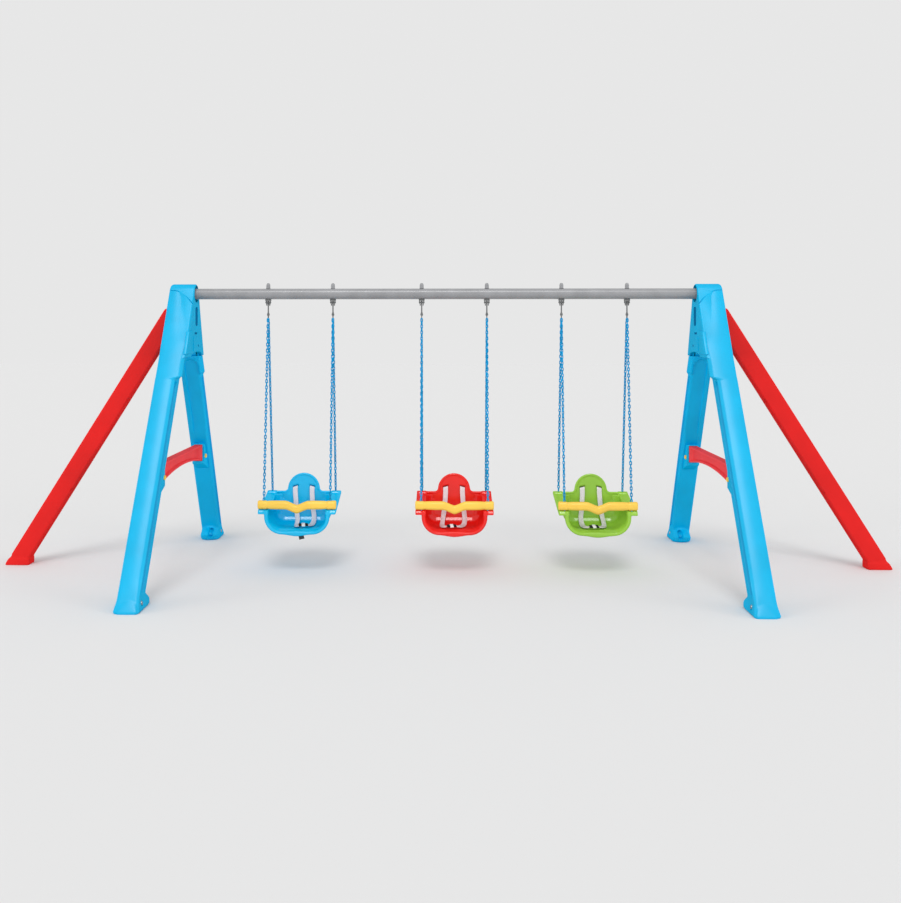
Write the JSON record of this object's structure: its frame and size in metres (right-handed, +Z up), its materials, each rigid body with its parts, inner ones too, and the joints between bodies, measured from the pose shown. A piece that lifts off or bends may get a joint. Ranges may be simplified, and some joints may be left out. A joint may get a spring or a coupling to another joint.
{
  "type": "toddler swing set",
  "caption": "Free-standing toddler swing set: moulded A-frames with outrigger braces carry a steel beam, and bucket seats with sliding guard bars hang from it on chains.",
  "frame": {"origin": "on the ground under the middle of the beam, at the centre of the footprint", "axes": "+X along the beam, -Y to the front (the side that the seats face), +Z up"},
  "size_m": [4.6726, 1.747, 1.4966],
  "materials": {
    "sky_plastic": "satin blow-moulded polyethylene, sky blue",
    "red_plastic": "satin blow-moulded polyethylene, red",
    "green_plastic": "glossy moulded plastic, leaf green",
    "yellow_plastic": "satin moulded plastic, warm yellow",
    "grey_steel": "silver-grey powder coat and zinc-plated bolts",
    "dark_steel": "dark zinc-plated steel",
    "chain_blue": "blue plastic-coated short-link chain",
    "webbing": "off-white woven webbing with a black and white buckle"
  },
  "bodies": {
    "frame": {"beam": "grey_steel", "left_front_leg": "sky_plastic", "left_rear_leg": "sky_plastic", "left_brace": "red_plastic", "left_crossbar": "red_plastic", "left_front_cap_bolt": "yellow_plastic", "left_front_anchor_screw": "grey_steel", "left_rear_cap_bolt": "yellow_plastic", "left_rear_anchor_screw": "grey_steel", "left_beam_bolt": "grey_steel", "right_front_leg": "sky_plastic", "right_rear_leg": "sky_plastic", "right_brace": "red_plastic", "right_crossbar": "red_plastic", "right_front_cap_bolt": "yellow_plastic", "right_front_anchor_screw": "grey_steel", "right_rear_cap_bolt": "yellow_plastic", "right_rear_anchor_screw": "grey_steel", "right_beam_bolt": "grey_steel", "left_hanger_l_bolt": "grey_steel", "left_hanger_l_clevis": "dark_steel", "left_hanger_r_bolt": "grey_steel", "left_hanger_r_clevis": "dark_steel", "middle_hanger_l_bolt": "grey_steel", "middle_hanger_l_clevis": "dark_steel", "middle_hanger_r_bolt": "grey_steel", "middle_hanger_r_clevis": "dark_steel", "right_hanger_l_bolt": "grey_steel", "right_hanger_l_clevis": "dark_steel", "right_hanger_r_bolt": "grey_steel", "right_hanger_r_clevis": "dark_steel"},
    "left_swing": {"left_seat": "sky_plastic", "left_harness": "webbing", "left_hanger_l_eye": "dark_steel", "left_chain_front_l": "chain_blue", "left_chain_rear_l": "chain_blue", "left_hanger_r_eye": "dark_steel", "left_chain_front_r": "chain_blue", "left_chain_rear_r": "chain_blue"},
    "left_bar": {"left_guard_bar": "yellow_plastic"},
    "middle_swing": {"middle_seat": "red_plastic", "middle_harness": "webbing", "middle_hanger_l_eye": "dark_steel", "middle_chain_front_l": "chain_blue", "middle_chain_rear_l": "chain_blue", "middle_hanger_r_eye": "dark_steel", "middle_chain_front_r": "chain_blue", "middle_chain_rear_r": "chain_blue"},
    "middle_bar": {"middle_guard_bar": "yellow_plastic"},
    "right_swing": {"right_seat": "green_plastic", "right_harness": "webbing", "right_hanger_l_eye": "dark_steel", "right_chain_front_l": "chain_blue", "right_chain_rear_l": "chain_blue", "right_hanger_r_eye": "dark_steel", "right_chain_front_r": "chain_blue", "right_chain_rear_r": "chain_blue"},
    "right_bar": {"right_guard_bar": "yellow_plastic"}
  },
  "joints": [
    {"name": "left_swing_hinge", "type": "hinge", "parent": "frame", "child": "left_swing", "pos_m": [-0.753, 0, 1.396], "axis": [1, 0, 0], "range_deg": [-45, 45]},
    {"name": "left_bar_slide", "type": "slide", "parent": "left_swing", "child": "left_bar", "axis": [0, 0.1297, 0.9915], "range_m": [0, 0.25]},
    {"name": "middle_swing_hinge", "type": "hinge", "parent": "frame", "child": "middle_swing", "pos_m": [0.052, 0, 1.396], "axis": [1, 0, 0], "range_deg": [-45, 45]},
    {"name": "middle_bar_slide", "type": "slide", "parent": "middle_swing", "child": "middle_bar", "axis": [0, 0.1297, 0.9915], "range_m": [0, 0.25]},
    {"name": "right_swing_hinge", "type": "hinge", "parent": "frame", "child": "right_swing", "pos_m": [0.78, 0, 1.396], "axis": [1, 0, 0], "range_deg": [-45, 45]},
    {"name": "right_bar_slide", "type": "slide", "parent": "right_swing", "child": "right_bar", "axis": [0, 0.1297, 0.9915], "range_m": [0, 0.25]}
  ]
}
